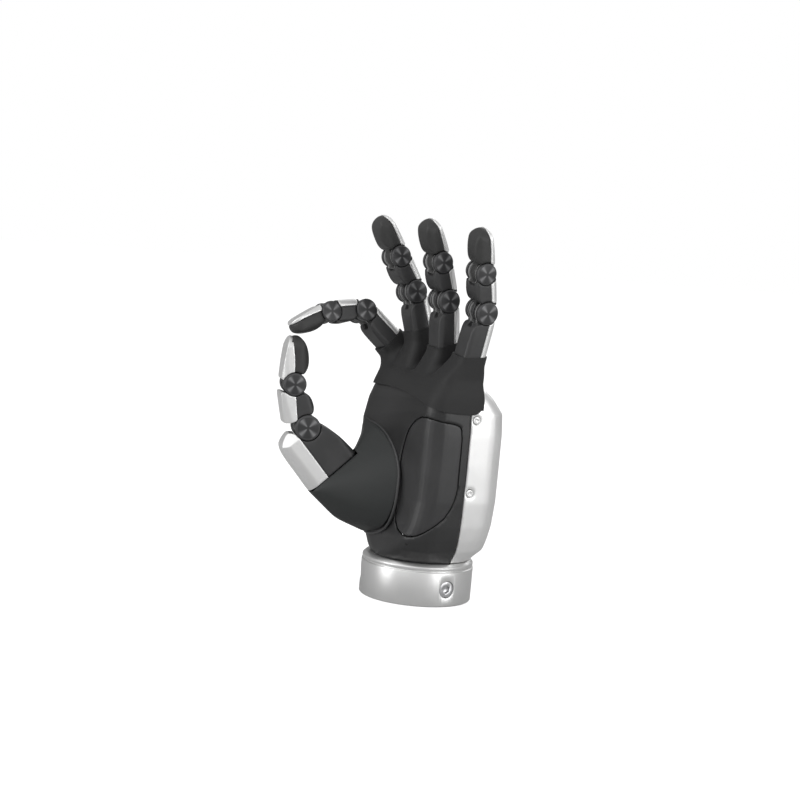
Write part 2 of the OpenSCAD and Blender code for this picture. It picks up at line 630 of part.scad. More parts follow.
module clamp_screws() color(steel) at_clamps() difference() {
    union() {
        translate([spigot_bore_r - 2.4, 0, 0]) rotate([0, 90, 0])
            cylinder(r = clamp_shank_r, h = flange_r - clamp_head_h - spigot_bore_r + 2.4);
        translate([flange_r - clamp_head_h, 0, 0]) rotate([0, 90, 0]) cylinder(r = clamp_head_r, h = clamp_head_h - 0.6);
    }
    translate([flange_r - 2.4, 0, 0]) rotate([0, 90, 0]) cylinder(r = 2.3, h = 6, $fn = 6);
}

// ---- chassis and what it carries ----

spine_y0 = parting_y + 1.9;
spine_y1 = spine_y0 + 3.4;
lug_in = root_w / 2 + run_gap;
lug_out = lug_in + 2.3;
motor_r = 6.5;
motor_y = spine_y1 + motor_r + 0.1;
motor_z0 = 50;
motor_len = 50;
motor_x = [-27.4, -9.1, 9.1, 27.4];
thumb_motor_r = 5;
thumb_motor_len = 11;

module palm_chassis() color(dark) difference() {
    union() {
        // spigot in the flange, with a floor above it inside the shells
        translate([0, 0, plate_t + 0.2]) cylinder(r = spigot_bore_r - 0.1, h = flange_h - plate_t - 0.2);
        translate([0, 0, flange_h]) cylinder(r = neck_r - 2 - shell_wall - 0.3, h = 3);
        // spine behind the thumb and a beam below the knuckles
        box([-22, spine_y0, flange_h], [22, spine_y1, flange_h + 16]);
        box([-32, spine_y0, flange_h + 14], [32, spine_y1, 112]);
        box([-35, -6, 106], [35, spine_y1, 112]);
        for (i = [0 : 3]) at_splay(i) both_sides() {
            translate([(lug_in + lug_out) / 2, 0, 0]) bar(5.4, lug_out - lug_in);
            box([lug_in, -5.4, -19], [lug_out, 5.4, 0]);
        }
        // shelves that hold the thumb hub's trunnions
        for (z = [hub_z0 - run_gap - shelf_t, hub_z1 + run_gap]) {
            translate([thumb_axis_x, thumb_axis_y, z]) cylinder(r = trunnion_r + 1.6, h = shelf_t);
            box([thumb_axis_x - 6.6, thumb_axis_y, z], [thumb_axis_x + 6.6, spine_y1, z + shelf_t]);
        }
    }
    translate([0, 0, plate_t]) cylinder(r = spigot_bore_r - 3, h = flange_h - plate_t - 0.5);
    bolt_holes(plate_t, bolt_end + 0.2, bolt_core_d / 2 + 0.6);
    translate([thumb_axis_x, thumb_axis_y, hub_z0 - 12]) cylinder(r = trunnion_r + pin_gap, h = hub_z1 - hub_z0 + 24);
    for (i = [0 : 3]) at_splay(i) {
        bar(pin_r + seam, 2 * lug_out + 1);
        // room for the finger's root
        bar(root_r + run_gap, 2 * lug_in - 0.02);
    }
    at_clamps() translate([spigot_bore_r - 6, 0, 0]) rotate([0, 90, 0]) cylinder(r = clamp_shank_r + seam, h = 20);
    // lightening windows in the spine
    for (x = [-18.2, 0, 18.2]) translate([x, 0, 74]) rotate([-90, 0, 0]) cylinder(r = 5, h = 20);
}
module knuckle_pins() color(steel) for (i = [0 : 3]) at_splay(i) bar(pin_r, 2 * lug_out);
module gearmotor(r, len) {
    cylinder(r = r, h = len * 0.3);
    translate([0, 0, len * 0.3]) cylinder(r = r - 0.6, h = len * 0.7 - 2);
    cylinder(r = 2, h = len);
}
module finger_motors() color(steel) for (x = motor_x)
    translate([x, motor_y, motor_z0 + motor_len]) mirror([0, 0, 1]) gearmotor(motor_r, motor_len);
module thumb_motor() color(steel)
    translate([thumb_axis_x, thumb_axis_y, hub_z1 + run_gap + shelf_t + 0.1]) cylinder(r = thumb_motor_r, h = thumb_motor_len);
module control_board() color("#1f4d38") {
    y = motor_y + motor_r + 0.4;
    difference() {
        box([-24, y, 54], [24, y + 1.6, 98]);
        for (x = [-21, 21], z = [57, 95]) translate([x, 0, z]) rotate([-90, 0, 0]) cylinder(r = 1.2, h = far);
    }
    box([-8, y + 1.5, 70], [8, y + 2.9, 84]);
}

// ---- rubber skins ----

// Flat slice of a section, for hulls
module slice(x0, x1, y0, y1, r, z) translate([0, 0, z]) linear_extrude(0.1) round_rect(x0, x1, y0, y1, r, $fn = 24);
skin_back_y = 12;
hem = [[-60, 90], [60, 90], [60, 110], [34, 110.2], [25, 111.6], [16, 114], [7, 116.4], [-3, 118],
    [-12, 118.5], [-24, 117.8], [-60, 117]];
sleeve_w = link_w + 2;
// Section of the knuckle skin: half width on the little finger's side and the thumb's side, depth in front
// on each side, depth behind and corner radius
module skin_ring(z, little, thumb, front_little, front_thumb, behind, r)
    for (c = [[little - r, r - front_little], [r - thumb, r - front_thumb], [little - r, behind - r],
        [r - thumb, behind - r]]) translate([c[0], c[1], z]) cylinder(r = r, h = 0.1, $fn = 24);
module knuckle_ball(i, r, w, $fn = 24) at_splay(i) bar(r, w);
module sleeve_form(i) hull() {
    knuckle_ball(i, 9.2, sleeve_w);
    at_knuckle(i) slice(-sleeve_w / 2, sleeve_w / 2, -7.9, 8.9, 4.4, sleeve_len[i] - 0.1);
}
module web_form(i) hull() {
    knuckle_ball(i, 8.9, sleeve_w - 0.5);
    slice(knuckle_x[i] - 8.7, knuckle_x[i] + 8.7, -18.4, 9.6, 5, 117.3);
}
module knuckle_skin() color(rubber) difference() {
    union() {
        hull() {
            skin_ring(108, hw + skin_step, hw + 0.6, pf + skin_step, tf - 0.6, skin_back_y, 9);
            skin_ring(119, hw + skin_step, hw - 0.4, pf, tf - 3.4, skin_back_y, 9);
            skin_ring(130, hw + skin_step - 1.6, hw - 4.2, 14, tf - 6.8, skin_back_y - 2, 8);
        }
        for (i = [0 : 3]) {
            sleeve_form(i);
            web_form(i);
        }
    }
    palm_solid();
    front(-40, 20, hem);
    hull() {
        slice(4 - hw, hw - 2.4, 5 - pf, skin_back_y - 2, 6, 118);
        slice(6.4 - hw, hw - 3, -11, skin_back_y - 4, 5, 128);
    }
    for (i = [0 : 3]) {
        knuckle_ball(i, 7.6, 2 * lug_out + 0.4);
        at_knuckle(i) box([-link_w / 2 - run_gap, -7, 2], [link_w / 2 + run_gap, 8.2, 40]);
        at_splay(i) box([-lug_out - 0.1, -5.5, -20], [lug_out + 0.1, 5.5, 0]);
    }
}

// Seam of the thumb's rubber on the front of the palm
thumb_seam = smooth([
    [-37, 38], [-37.6, 66], [-37, 94], [-24, 95.6], [-10.8, 91.6], [2, 81], [9, 65], [8.6, 50],
    [2.4, 38.6], [-10, 33.4], [-24, 33.4]
], 2);
module seam_slab(depth, x_max, grow) front(-depth - grow, -10, [for (p = thumb_seam)
    let (q = p + grow * (p - [-14, 65]) / 28) [max(thenar_r - hw, min(q[0], x_max)), q[1]]]);
module thumb_skin_form(grow) difference() {
    thumb_skin_hull(grow);
    // saddle between the thumb and the palm
    at_thumb_root() side(far, [[-13.9 - grow, 80], [-13.9 - grow, 17.4 + grow], [-19.1, 20.3 + grow],
        [-25.8, 23.2 + grow], [-60, 38 + grow], [-60, 80]]);
}
module thumb_skin_hull(grow) hull() {
    seam_slab(pf + 2, hw, grow);
    seam_slab(tf + 0.7, -16, grow);
    // round the palm's corner and along its side
    translate([thenar_r - hw, thenar_r - tf, 37 - grow]) cylinder(r = thenar_r + 0.7 + grow, h = 57 + 2 * grow, $fn = 32);
    box([-hw - 1.2 - grow, -18, 40 - grow], [0, -1.5 + grow, 88 + grow]);
    at_hub() translate([0, -root_out, root_z]) {
        bar(18.6 + grow, 15 + 2 * grow, $fn = 32);
        bar(10.6 + grow, 2 * (arm_x + arm_t + 0.8 + run_gap + 1.8) + 2 * grow, $fn = 32);
    }
    at_thumb_root() translate([0, 0, skin_end_z]) rotate([skin_lean, 0, 0]) translate([0, 0, -0.1 - grow])
        linear_extrude(0.1) round_rect(-meta_w / 2 - 0.4 - grow, meta_w / 2 + 0.4 + grow, -13.8 - grow, 20.8 + grow, 5,
            $fn = 24);
}
module thumb_skin() color(rubber) difference() {
    thumb_skin_form(0);
    palm_solid();
    thumb_skin_form(-1.8);
    // nothing past the metacarpal's edge, and an opening round its narrow root
    intersection() {
        at_thumb_root() past_skin(skin_end_z + 0.04);
        at_thumb_root() box([-20, -14.2, 0], [20, 40, 60]);
    }
    at_thumb_root() box([-thumb_root_w / 2 - run_gap, -thumb_root_r, 0],
        [thumb_root_w / 2 + run_gap, thumb_root_r + run_gap, 40]);
}

wrist_flange();
clamp_screws();
wrist_connector();
palm_chassis();
palm_cover();
palm_pad();
back_shell();
shell_screws();
knuckle_skin();
thumb_skin();
knuckle_pins();
finger_motors();
control_board();
thumb_motor();
at_knuckle(0) proximal();  // index_proximal
at_knuckle(0) proximal_back();  // index_proximal_back
at_middle(0) middle();  // index_middle
at_middle(0) middle_back();  // index_middle_back
at_distal(0) distal();  // index_distal
at_distal(0) distal_back();  // index_distal_back
at_pip(0) pip_axle();  // index_pip_axle
at_dip(0) dip_axle();  // index_dip_axle
at_knuckle(1) proximal();  // middle_proximal
at_knuckle(1) proximal_back();  // middle_proximal_back
at_middle(1) middle();  // middle_middle
at_middle(1) middle_back();  // middle_middle_back
at_distal(1) distal();  // middle_distal
at_distal(1) distal_back();  // middle_distal_back
at_pip(1) pip_axle();  // middle_pip_axle
at_dip(1) dip_axle();  // middle_dip_axle
at_knuckle(2) proximal();  // ring_proximal
at_knuckle(2) proximal_back();  // ring_proximal_back
at_middle(2) middle();  // ring_middle
at_middle(2) middle_back();  // ring_middle_back
at_distal(2) distal();  // ring_distal
at_distal(2) distal_back();  // ring_distal_back
at_pip(2) pip_axle();  // ring_pip_axle
at_dip(2) dip_axle();  // ring_dip_axle
at_knuckle(3) proximal();  // little_proximal
at_knuckle(3) proximal_back();  // little_proximal_back
at_middle(3) middle();  // little_middle
at_middle(3) middle_back();  // little_middle_back
at_distal(3) distal();  // little_distal
at_distal(3) distal_back();  // little_distal_back
at_pip(3) pip_axle();  // little_pip_axle
at_dip(3) dip_axle();  // little_dip_axle
thumb_hub();
thumb_root_axle();
at_thumb_root() metacarpal();  // thumb_metacarpal
at_thumb_root() metacarpal_back();  // thumb_metacarpal_back
at_thumb_mcp() color(dark) hinge_axle(mcp_disc_r, thumb_mcp_w);  // thumb_mcp_axle
at_thumb_proximal() thumb_mid();  // thumb_proximal
at_thumb_proximal() thumb_mid_back();  // thumb_proximal_back
at_thumb_ip() color(dark) hinge_axle(ip_disc_r, thumb_ip_w);  // thumb_ip_axle
at_thumb_distal() thumb_end();  // thumb_distal
at_thumb_distal() thumb_end_back();  // thumb_distal_back
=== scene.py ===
import json
import math
import bpy
from mathutils import Matrix, Vector

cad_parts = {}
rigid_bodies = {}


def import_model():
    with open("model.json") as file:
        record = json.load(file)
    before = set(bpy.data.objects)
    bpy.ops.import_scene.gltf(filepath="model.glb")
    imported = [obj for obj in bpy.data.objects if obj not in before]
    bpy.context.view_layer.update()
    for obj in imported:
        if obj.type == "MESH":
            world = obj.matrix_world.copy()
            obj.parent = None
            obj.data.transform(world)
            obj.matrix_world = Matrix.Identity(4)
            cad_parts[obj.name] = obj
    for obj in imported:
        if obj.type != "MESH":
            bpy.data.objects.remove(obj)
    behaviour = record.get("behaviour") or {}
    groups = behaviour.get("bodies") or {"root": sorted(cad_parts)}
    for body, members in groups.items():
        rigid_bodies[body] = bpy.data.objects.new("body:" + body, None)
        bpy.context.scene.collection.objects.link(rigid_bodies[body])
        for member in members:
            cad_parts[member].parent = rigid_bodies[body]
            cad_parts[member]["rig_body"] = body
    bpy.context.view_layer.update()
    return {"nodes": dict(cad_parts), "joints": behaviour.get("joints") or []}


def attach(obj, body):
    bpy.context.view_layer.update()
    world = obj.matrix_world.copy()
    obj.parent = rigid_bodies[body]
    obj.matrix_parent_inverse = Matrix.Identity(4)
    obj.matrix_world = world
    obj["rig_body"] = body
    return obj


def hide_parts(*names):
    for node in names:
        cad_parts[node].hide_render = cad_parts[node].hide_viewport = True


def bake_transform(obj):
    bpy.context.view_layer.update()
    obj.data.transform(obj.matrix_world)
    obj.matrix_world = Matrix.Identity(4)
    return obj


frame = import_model()
nodes = frame["nodes"]
joints = {j["name"]: j for j in frame["joints"]}
mm = 0.001
fingers = ["index", "middle", "ring", "little"]
print("frame loaded:", len(nodes), "CAD nodes")


# view and light

viewSettings = {
    "azimuth": 61.89, "elevation": 6.45, "roll": -5.22,  # degrees
    "distance": 1.0468, "targetSide": -0.01828, "targetHeight": 0.11107, "clip": (0.01, 20),  # metres
    "sensor": 36, "focalShare": 2.305,  # focal length as a share of the sensor's width
}


def viewAxes():
    az, el = math.radians(viewSettings["azimuth"]), math.radians(viewSettings["elevation"])
    back = Vector((math.sin(az) * math.cos(el), -math.cos(az) * math.cos(el), math.sin(el)))
    right = Vector((math.cos(az), math.sin(az), 0))
    return right, back.cross(right), back


def addCamera():
    right, up, back = viewAxes()
    place = right * viewSettings["targetSide"] + Vector((0, 0, viewSettings["targetHeight"]))
    place += back * viewSettings["distance"]
    roll = math.radians(viewSettings["roll"])
    turnedRight = right * math.cos(roll) - up * math.sin(roll)
    turnedUp = right * math.sin(roll) + up * math.cos(roll)
    data = bpy.data.cameras.new("camera")
    camera = bpy.data.objects.new("camera", data)
    bpy.context.scene.collection.objects.link(camera)
    camera.matrix_world = Matrix((turnedRight, turnedUp, back)).transposed().to_4x4()
    camera.location = place
    data.sensor_width = viewSettings["sensor"]
    data.lens = viewSettings["focalShare"] * data.sensor_width
    data.clip_start, data.clip_end = viewSettings["clip"]
    bpy.context.scene.camera = camera


lampAim = 0.11  # height of the point that the lamps look at
lampSettings = {  # side, height and distance from the hand in the camera's axes, size and power
    "key": {"place": (-0.75, 0.8, 0.9), "size": (1.7, 1.7), "power": 4.5},
    "fill": {"place": (1.05, 0.0, 0.8), "size": (0.9, 0.9), "power": 6},
    "side": {"place": (-1.02, -0.05, 0.5), "size": (0.4, 1.3), "power": 5},
    "back": {"place": (0.45, 0.9, -0.9), "size": (0.9, 0.9), "power": 4},
}


def addLamps():
    right, up, back = viewAxes()
    middle = Vector((0, 0, lampAim))
    for name, lamp in lampSettings.items():
        side, height, depth = lamp["place"]
        data = bpy.data.lights.new(name, "AREA")
        data.shape = "RECTANGLE"
        (data.size, data.size_y), data.energy = lamp["size"], lamp["power"]
        light = bpy.data.objects.new(name, data)
        bpy.context.scene.collection.objects.link(light)
        light.location = middle + right * side + up * height + back * depth
        light.rotation_euler = (light.location - middle).to_track_quat("Z", "Y").to_euler()


# shader building

class Wire:  # the output of a shader node, with arithmetic
    def __init__(self, paint, socket):
        self.paint, self.socket = paint, socket

    def math(self, operation, *others):
        values = {i: v for i, v in enumerate((self,) + others)}
        return self.paint.node("ShaderNodeMath", {"operation": operation}, values)

    def __add__(self, other):
        return self.math("ADD", other)

    def __mul__(self, other):
        return self.math("MULTIPLY", other)

    def __sub__(self, other):
        return self.math("SUBTRACT", other)

    def __rsub__(self, other):
        return (self * -1) + other

    def __pow__(self, other):
        return self.math("POWER", other)

    def above(self, edge):
        return self.math("GREATER_THAN", edge)

    def band(self, middle, width):  # 1 within width of middle
        return self.math("COMPARE", middle, width)

    def clamped(self):
        return self.paint.node("ShaderNodeClamp", {}, {"Value": self})

    def steps(self, low, high):  # smooth rise from 0 at low to 1 at high
        values = {"Value": self, "From Min": low, "From Max": high}
        return self.paint.node("ShaderNodeMapRange", {"interpolation_type": "SMOOTHSTEP"}, values)


class Paint:  # a material that is being built on one Principled shader
    def __init__(self, name, fixed):
        self.material = bpy.data.materials.new(name)
        self.material.use_nodes = True
        self.tree = self.material.node_tree
        self.shader = self.tree.nodes["Principled BSDF"]
        for socket, value in fixed.items():
            self.put(self.shader.inputs[socket], value)

    def put(self, socket, value):
        if isinstance(value, Wire):
            self.tree.links.new(value.socket, socket)
        elif socket.type == "RGBA":
            socket.default_value = (*value, 1)
        else:
            socket.default_value = value

    def node(self, kind, settings=None, values=None, output=0):
        made = self.tree.nodes.new(kind)
        for name, value in (settings or {}).items():
            setattr(made, name, value)
        for name, value in (values or {}).items():
            self.put(made.inputs[name], value)
        return Wire(self, made.outputs[output])

    def finish(self, **links):
        for socket, value in links.items():
            self.put(self.shader.inputs[socket.replace("_", " ")], value)
        return self.material

    def place(self):
        return self.node("ShaderNodeTexCoord", output="Object")

    def noise(self, scale, detail, rough=0.5):
        values = {"Vector": self.place(), "Scale": scale, "Detail": detail, "Roughness": rough}
        return self.node("ShaderNodeTexNoise", {}, values)

    def mix(self, share, low, high):
        node = self.tree.nodes.new("ShaderNodeMix")
        node.data_type = "RGBA"
        self.put(node.inputs["Factor"], share)
        for socket, value in zip([s for s in node.inputs if s.type == "RGBA"], (low, high)):
            self.put(socket, value)
        return Wire(self, [s for s in node.outputs if s.type == "RGBA"][0])

    def bump(self, height, depth, strength):
        values = {"Height": height, "Distance": depth, "Strength": strength}
        return self.node("ShaderNodeBump", {}, values)

    def split(self, vector):
        node = self.tree.nodes.new("ShaderNodeSeparateXYZ")
        self.put(node.inputs[0], vector)
        return [Wire(self, out) for out in node.outputs]


def hingeFrame(joint):  # matrix whose X axis is the hinge's pin and whose origin is its middle
    pin = Vector(joint["axis"]).normalized()
    up = Vector((0, 0, 1)) - pin * pin.z
    up.normalize()
    return Matrix((pin, up.cross(pin), up)).transposed(), Vector(joint["pos_m"])


def inHinge(paint, joint):  # object coordinates in the hinge's own frame
    turn, middle = hingeFrame(joint)
    back = turn.transposed()
    values = {"Vector": paint.place(), "Rotation": back.to_euler(), "Location": -(back @ middle)}
    return paint.node("ShaderNodeMapping", {"vector_type": "POINT"}, values)


# finishes

finishes = {
    "dark plastic": {"color": (0.035, 0.035, 0.036), "light": (0.047, 0.047, 0.048), "roughness": 0.44},
    "knuckle rubber": {"color": (0.0165, 0.0165, 0.017), "light": (0.022, 0.022, 0.022), "roughness": 0.62},
    "thenar rubber": {"color": (0.024, 0.0262, 0.0262), "light": (0.031, 0.0335, 0.033), "roughness": 0.6},
    "pad rubber": {"color": (0.034, 0.034, 0.034), "light": (0.045, 0.045, 0.044), "roughness": 0.5},
    "palm pad": {"color": (0.030, 0.030, 0.031), "light": (0.037, 0.037, 0.038), "roughness": 0.36},
    "shell plastic": {"color": (0.019, 0.019, 0.0195), "light": (0.024, 0.024, 0.0245), "roughness": 0.36},
    "satin aluminium": {"color": (0.86, 0.86, 0.855), "light": (0.92, 0.92, 0.915), "roughness": 0.4},
    "turned aluminium": {"color": (0.74, 0.74, 0.735), "light": (0.8, 0.8, 0.795), "roughness": 0.4},
    "steel": {"color": (0.5, 0.5, 0.51), "light": (0.62, 0.62, 0.63), "roughness": 0.3},
}
metalShare = {"satin aluminium": 0.8, "turned aluminium": 0.9, "steel": 1.0}

# scale and detail of the noise layers, where the clouds are lighter, what the layers add to the roughness
# and how much less the roughness starts from, and the depth and strength of the relief
surfaces = {
    "plastic": {"fixed": {"Specular IOR Level": 0.5}, "cloud": (55, 3), "lighter": (0.35, 0.7),
                "grain": (2400, 2), "shares": (0.1, 0.06), "less": 0.08, "depth": 0.00002, "bump": 0.6},
    "rubber": {"fixed": {"Specular IOR Level": 0.4, "Sheen Weight": 0.04, "Sheen Roughness": 0.5},
               "cloud": (32, 4), "lighter": (0.3, 0.75), "dust": (700, 3, 0.65), "dusty": (0.55, 0.8),
               "mix": (0.7, 0.3), "grain": (3200, 2), "shares": (0.12, 0.08), "less": 0.1,
               "depth": 0.00003, "bump": 0.6},
    "satin": {"cloud": (40, 3), "lighter": (0.3, 0.7), "grain": (5200, 2), "shares": (0.08, 0.08),
              "less": 0.08, "depth": 0.00001, "bump": 0.5},
    "turned": {"cloud": (30, 3), "lighter": (0.3, 0.7), "pitch": 0.00035, "shares": (0.08, 0.02),
               "less": 0.1, "depth": 0.000004, "bump": 0.6},
}


def finished(paint, name, kind, color, cloud, fine, height):  # roughness and relief, once the color is made
    layer = surfaces[kind]
    cloudShare, fineShare = layer["shares"]
    roughness = cloud * cloudShare + fine * fineShare + (finishes[name]["roughness"] - layer["less"])
    normal = paint.bump(height, layer["depth"], layer["bump"])
    return paint.finish(Base_Color=color, Roughness=roughness, Normal=normal)


coverDots = {  # small holes low on the front of the cover, painted near-black as the shade inside them and sunk by bump: x, z and radius in mm
    "places": [(2.6, 36.5), (27.9, 35.3), (4.4, 24.2)], "radius": 0.9, "core": 0.6, "front": -0.01,
    "color": (0.004, 0.004, 0.004), "sink": 12,
}


def dotMask(paint):  # 1 inside the holes, on the front only
    x, y, z = paint.split(paint.place())
    reach = None
    for dotX, dotZ in coverDots["places"]:
        away = ((x - dotX * mm) ** 2 + (z - dotZ * mm) ** 2) ** 0.5
        reach = away if reach is None else reach.math("MINIMUM", away)
    radius = coverDots["radius"]
    rim = reach.steps(radius * coverDots["core"] * mm, radius * mm)
    return (1 - rim) * (coverDots["front"] - y).above(0)


hingeEdges = {  # bands on the hinge plates: place across the pin and half width, then the radii, in mm
    "pip": {"lines": [(2.3, 0.35), (4.2, 0.3)], "shade": (5.35, 0.45), "from": 5.2, "to": 7.6},
    "dip": {"lines": [(3.1, 1.0)], "shade": (4.95, 0.45), "from": 4.7, "to": 7.2},
    # dark is the painted shade in the gap beside the plates
    "color": (0.25, 0.25, 0.25), "dark": (0.004, 0.004, 0.004),
}


def banded(paint, color, kind, joint):  # the color with the hinge plates' light edges and painted shade in the gap by them
    edges = hingeEdges[kind]
    x, y, z = paint.split(inHinge(paint, joint))
    reach = (y * y + z * z) ** 0.5
    across = x.math("ABSOLUTE")
    around = reach.above(edges["from"] * mm) * (1 - reach.above(edges["to"] * mm))
    bands = [(line, hingeEdges["color"]) for line in edges["lines"]] + [(edges["shade"], hingeEdges["dark"])]
    for (middle, width), tone in bands:
        color = paint.mix(across.band(middle * mm, width * mm) * around, color, tone)
    return color


def mouldedPlastic(name, title=None, dotted=False, hinges=()):
    look, layer = finishes[name], surfaces["plastic"]
    paint = Paint(title or name, layer["fixed"])
    cloud = paint.noise(*layer["cloud"])
    fine = height = paint.noise(*layer["grain"])
    color = paint.mix(cloud.steps(*layer["lighter"]), look["color"], look["light"])
    if dotted:
        hole = dotMask(paint)
        # painted shade inside the holes
        color = paint.mix(hole, color, coverDots["color"])
        height = fine - hole * coverDots["sink"]
    for kind, joint in hinges:
        color = banded(paint, color, kind, joint)
    return finished(paint, name, "plastic", color, cloud, fine, height)


def softRubber(name):
    look, layer = finishes[name], surfaces["rubber"]
    paint = Paint(name, layer["fixed"])
    cloud, dust, skin = [paint.noise(*layer[kind]) for kind in ("cloud", "dust", "grain")]
    cloudPart, dustPart = layer["mix"]
    lighter = cloud.steps(*layer["lighter"]) * cloudPart + dust.steps(*layer["dusty"]) * dustPart
    color = paint.mix(lighter, look["color"], look["light"])
    return finished(paint, name, "rubber", color, cloud, dust, skin)


def satinMetal(name):
    look, layer = finishes[name], surfaces["satin"]
    paint = Paint(name, {"Metallic": metalShare[name]})
    cloud = paint.noise(*layer["cloud"])
    blast = paint.noise(*layer["grain"])
    color = paint.mix(cloud.steps(*layer["lighter"]), look["color"], look["light"])
    return finished(paint, name, "satin", color, cloud, blast, blast)


def turnedMetal(name):  # lathe marks round the wrist axis
    look, layer = finishes[name], surfaces["turned"]
    paint = Paint(name, {"Metallic": metalShare[name]})
    x, y, z = paint.split(paint.place())
    radius = (x * x + y * y) ** 0.5
    marks = ((radius + z) * (2 * math.pi / layer["pitch"])).math("SINE")
    cloud = paint.noise(*layer["cloud"])
    color = paint.mix(cloud.steps(*layer["lighter"]), look["color"], look["light"])
    return finished(paint, name, "turned", color, cloud, marks, marks)


discLook = {
    # the turned face's reflection is painted: light is the colour of the painted highlight, glow its strength
    "dark": (0.02, 0.02, 0.0215), "light": (0.2, 0.2, 0.205), "rim": (0.05, 0.05, 0.052), "shine": 0.6,
    "sectors": 2, "sharpness": 8.0, "phase": 45,  # degrees
    "hub": (0.0006, 0.0016),
    "fade": (0.0010, 0.0007), "edge": (0.0009, 0.0006),  # measured inwards from the rim
    "pitch": 0.0003, "depth": 0.000006, "bump": 0.7,
    "cloud": (300, 2), "glow": (0.4, 0.8), "roughness": (-0.1, 0.08, 0.42),
    "radius": {"pip": 0.0064, "dip": 0.006, "mcp": 0.0068, "ip": 0.0062},  # fingers' joints, then the thumb's
}


def turnedDisc(name, joint, radius):  # a disc's turned face, its reflection painted into the colour as a highlight in crossing sectors
    look = discLook
    paint = Paint(name, {"Specular IOR Level": look["shine"]})
    y, z = paint.split(inHinge(paint, joint))[1:]
    reach = (y * y + z * z) ** 0.5
    angle = z.math("ARCTAN2", y)
    wave = (angle * look["sectors"] + math.radians(2 * look["phase"] - 90)).math("SINE")
    glintSector = wave.math("ABSOLUTE") ** look["sharpness"]
    grooves = (reach * (2 * math.pi / look["pitch"])).math("SINE")
    face = reach.steps(*look["hub"]) * (1 - reach.steps(*[radius - inside for inside in look["fade"]]))
    cloud = paint.noise(*look["cloud"])
    spread, base = look["glow"]
    # painted highlight: the crossing sectors of the face painted lighter, standing in for its reflection
    glow = glintSector * face * (cloud * spread + base)
    color = paint.mix(glow.clamped(), look["dark"], look["light"])
    color = paint.mix(reach.steps(*[radius - inside for inside in look["edge"]]), color, look["rim"])
    glowShare, cloudShare, rough = look["roughness"]
    roughness = glow * glowShare + cloud * cloudShare + rough
    normal = paint.bump(grooves * face, look["depth"], look["bump"])
    return paint.finish(Base_Color=color, Roughness=roughness, Normal=normal)


boardLook = {
    "board": (0.012, 0.075, 0.035), "track": (0.03, 0.14, 0.07), "pads": (0.5, 0.48, 0.4), "shine": 0.5,
    "cells": 260, "padSize": (0.05, 0.1), "tracks": (1100, 700), "trackEdge": 0.5, "roughness": (0.2, 0.3),
}


def circuitBoard():
    look = boardLook
    paint = Paint("circuit board", {"Specular IOR Level": look["shine"]})
    x, z = paint.split(paint.place())[::2]
    cell = paint.node("ShaderNodeTexVoronoi", {"feature": "F1", "distance": "CHEBYCHEV"},
                      {"Vector": paint.place(), "Scale": look["cells"]}, "Distance")
    across, along = look["tracks"]
    lines = ((x * across).math("SINE") * (z * along).math("SINE")).above(look["trackEdge"])
    color = paint.mix(lines, look["board"], look["track"])
    color = paint.mix(cell.steps(*look["padSize"]), look["pads"], color)
    spread, base = look["roughness"]
    return paint.finish(Base_Color=color, Roughness=cell * spread + base)


# nodes inside the hand, and the two whose skins are modelled here
hiddenNodes = ["palm_chassis", "finger_motors", "thumb_motor", "control_board", "knuckle_skin", "thumb_skin"]


def merged(name, twinName):  # a CAD node's copy with its corners joined
    twin = copied(nodes[name], twinName)
    twin.parent = None
    twin.hide_viewport = twin.hide_render = False
    twin.hide_set(False)
    for key in [k for k in twin.keys() if k.startswith("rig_")]:
        del twin[key]
    alone(twin)
    bpy.ops.object.mode_set(mode="EDIT")
    bpy.ops.mesh.select_all(action="SELECT")
    bpy.ops.mesh.remove_doubles(threshold=edgeSettings["weld"])
    bpy.ops.object.mode_set(mode="OBJECT")
    return twin


# bevel radius in mm and angle in degrees, or voxel size in mm and rounds of smoothing
edgeSettings = {
    "weld": 0.00001, "flat": 1, "radius": 0.35, "finer": {"wrist_flange": 0.25}, "angle": 24,
    "remeshed": {"back_shell": (0.7, 14), "palm_cover": (0.6, 6), "palm_pad": (0.5, 6), "back": (0.3, 6),
                 "distal": (0.45, 40), "proximal": (0.4, 10), "middle": (0.4, 8), "metacarpal": (0.45, 8)},
    "shading": {"bevelled": 34, "remeshed": 60},
}


def softEdged(name):  # a copy of a CAD node whose edges are broken, shown in its place
    twin = merged(name, "soft_" + name)
    remeshed = edgeSettings["remeshed"]
    settings = remeshed.get(name) or remeshed.get(name.split("_")[-1])
    if settings:
        softened(twin, *settings)
        smoothShaded(twin, edgeSettings["shading"]["remeshed"])
    else:
        radius = edgeSettings["finer"].get(name, edgeSettings["radius"])
        applied(twin, "DECIMATE", decimate_type="DISSOLVE", angle_limit=math.radians(edgeSettings["flat"]))
        applied(twin, "BEVEL", width=radius * mm, segments=2, limit_method="ANGLE",
                angle_limit=math.radians(edgeSettings["angle"]), use_clamp_overlap=False)
        smoothShaded(twin, edgeSettings["shading"]["bevelled"])
    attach(twin, nodes[name]["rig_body"])
    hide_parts(name)
    return twin


steelNodes = ["clamp_screws", "wrist_connector", "knuckle_pins", "finger_motors", "thumb_motor",
              "thumb_root_axle"]


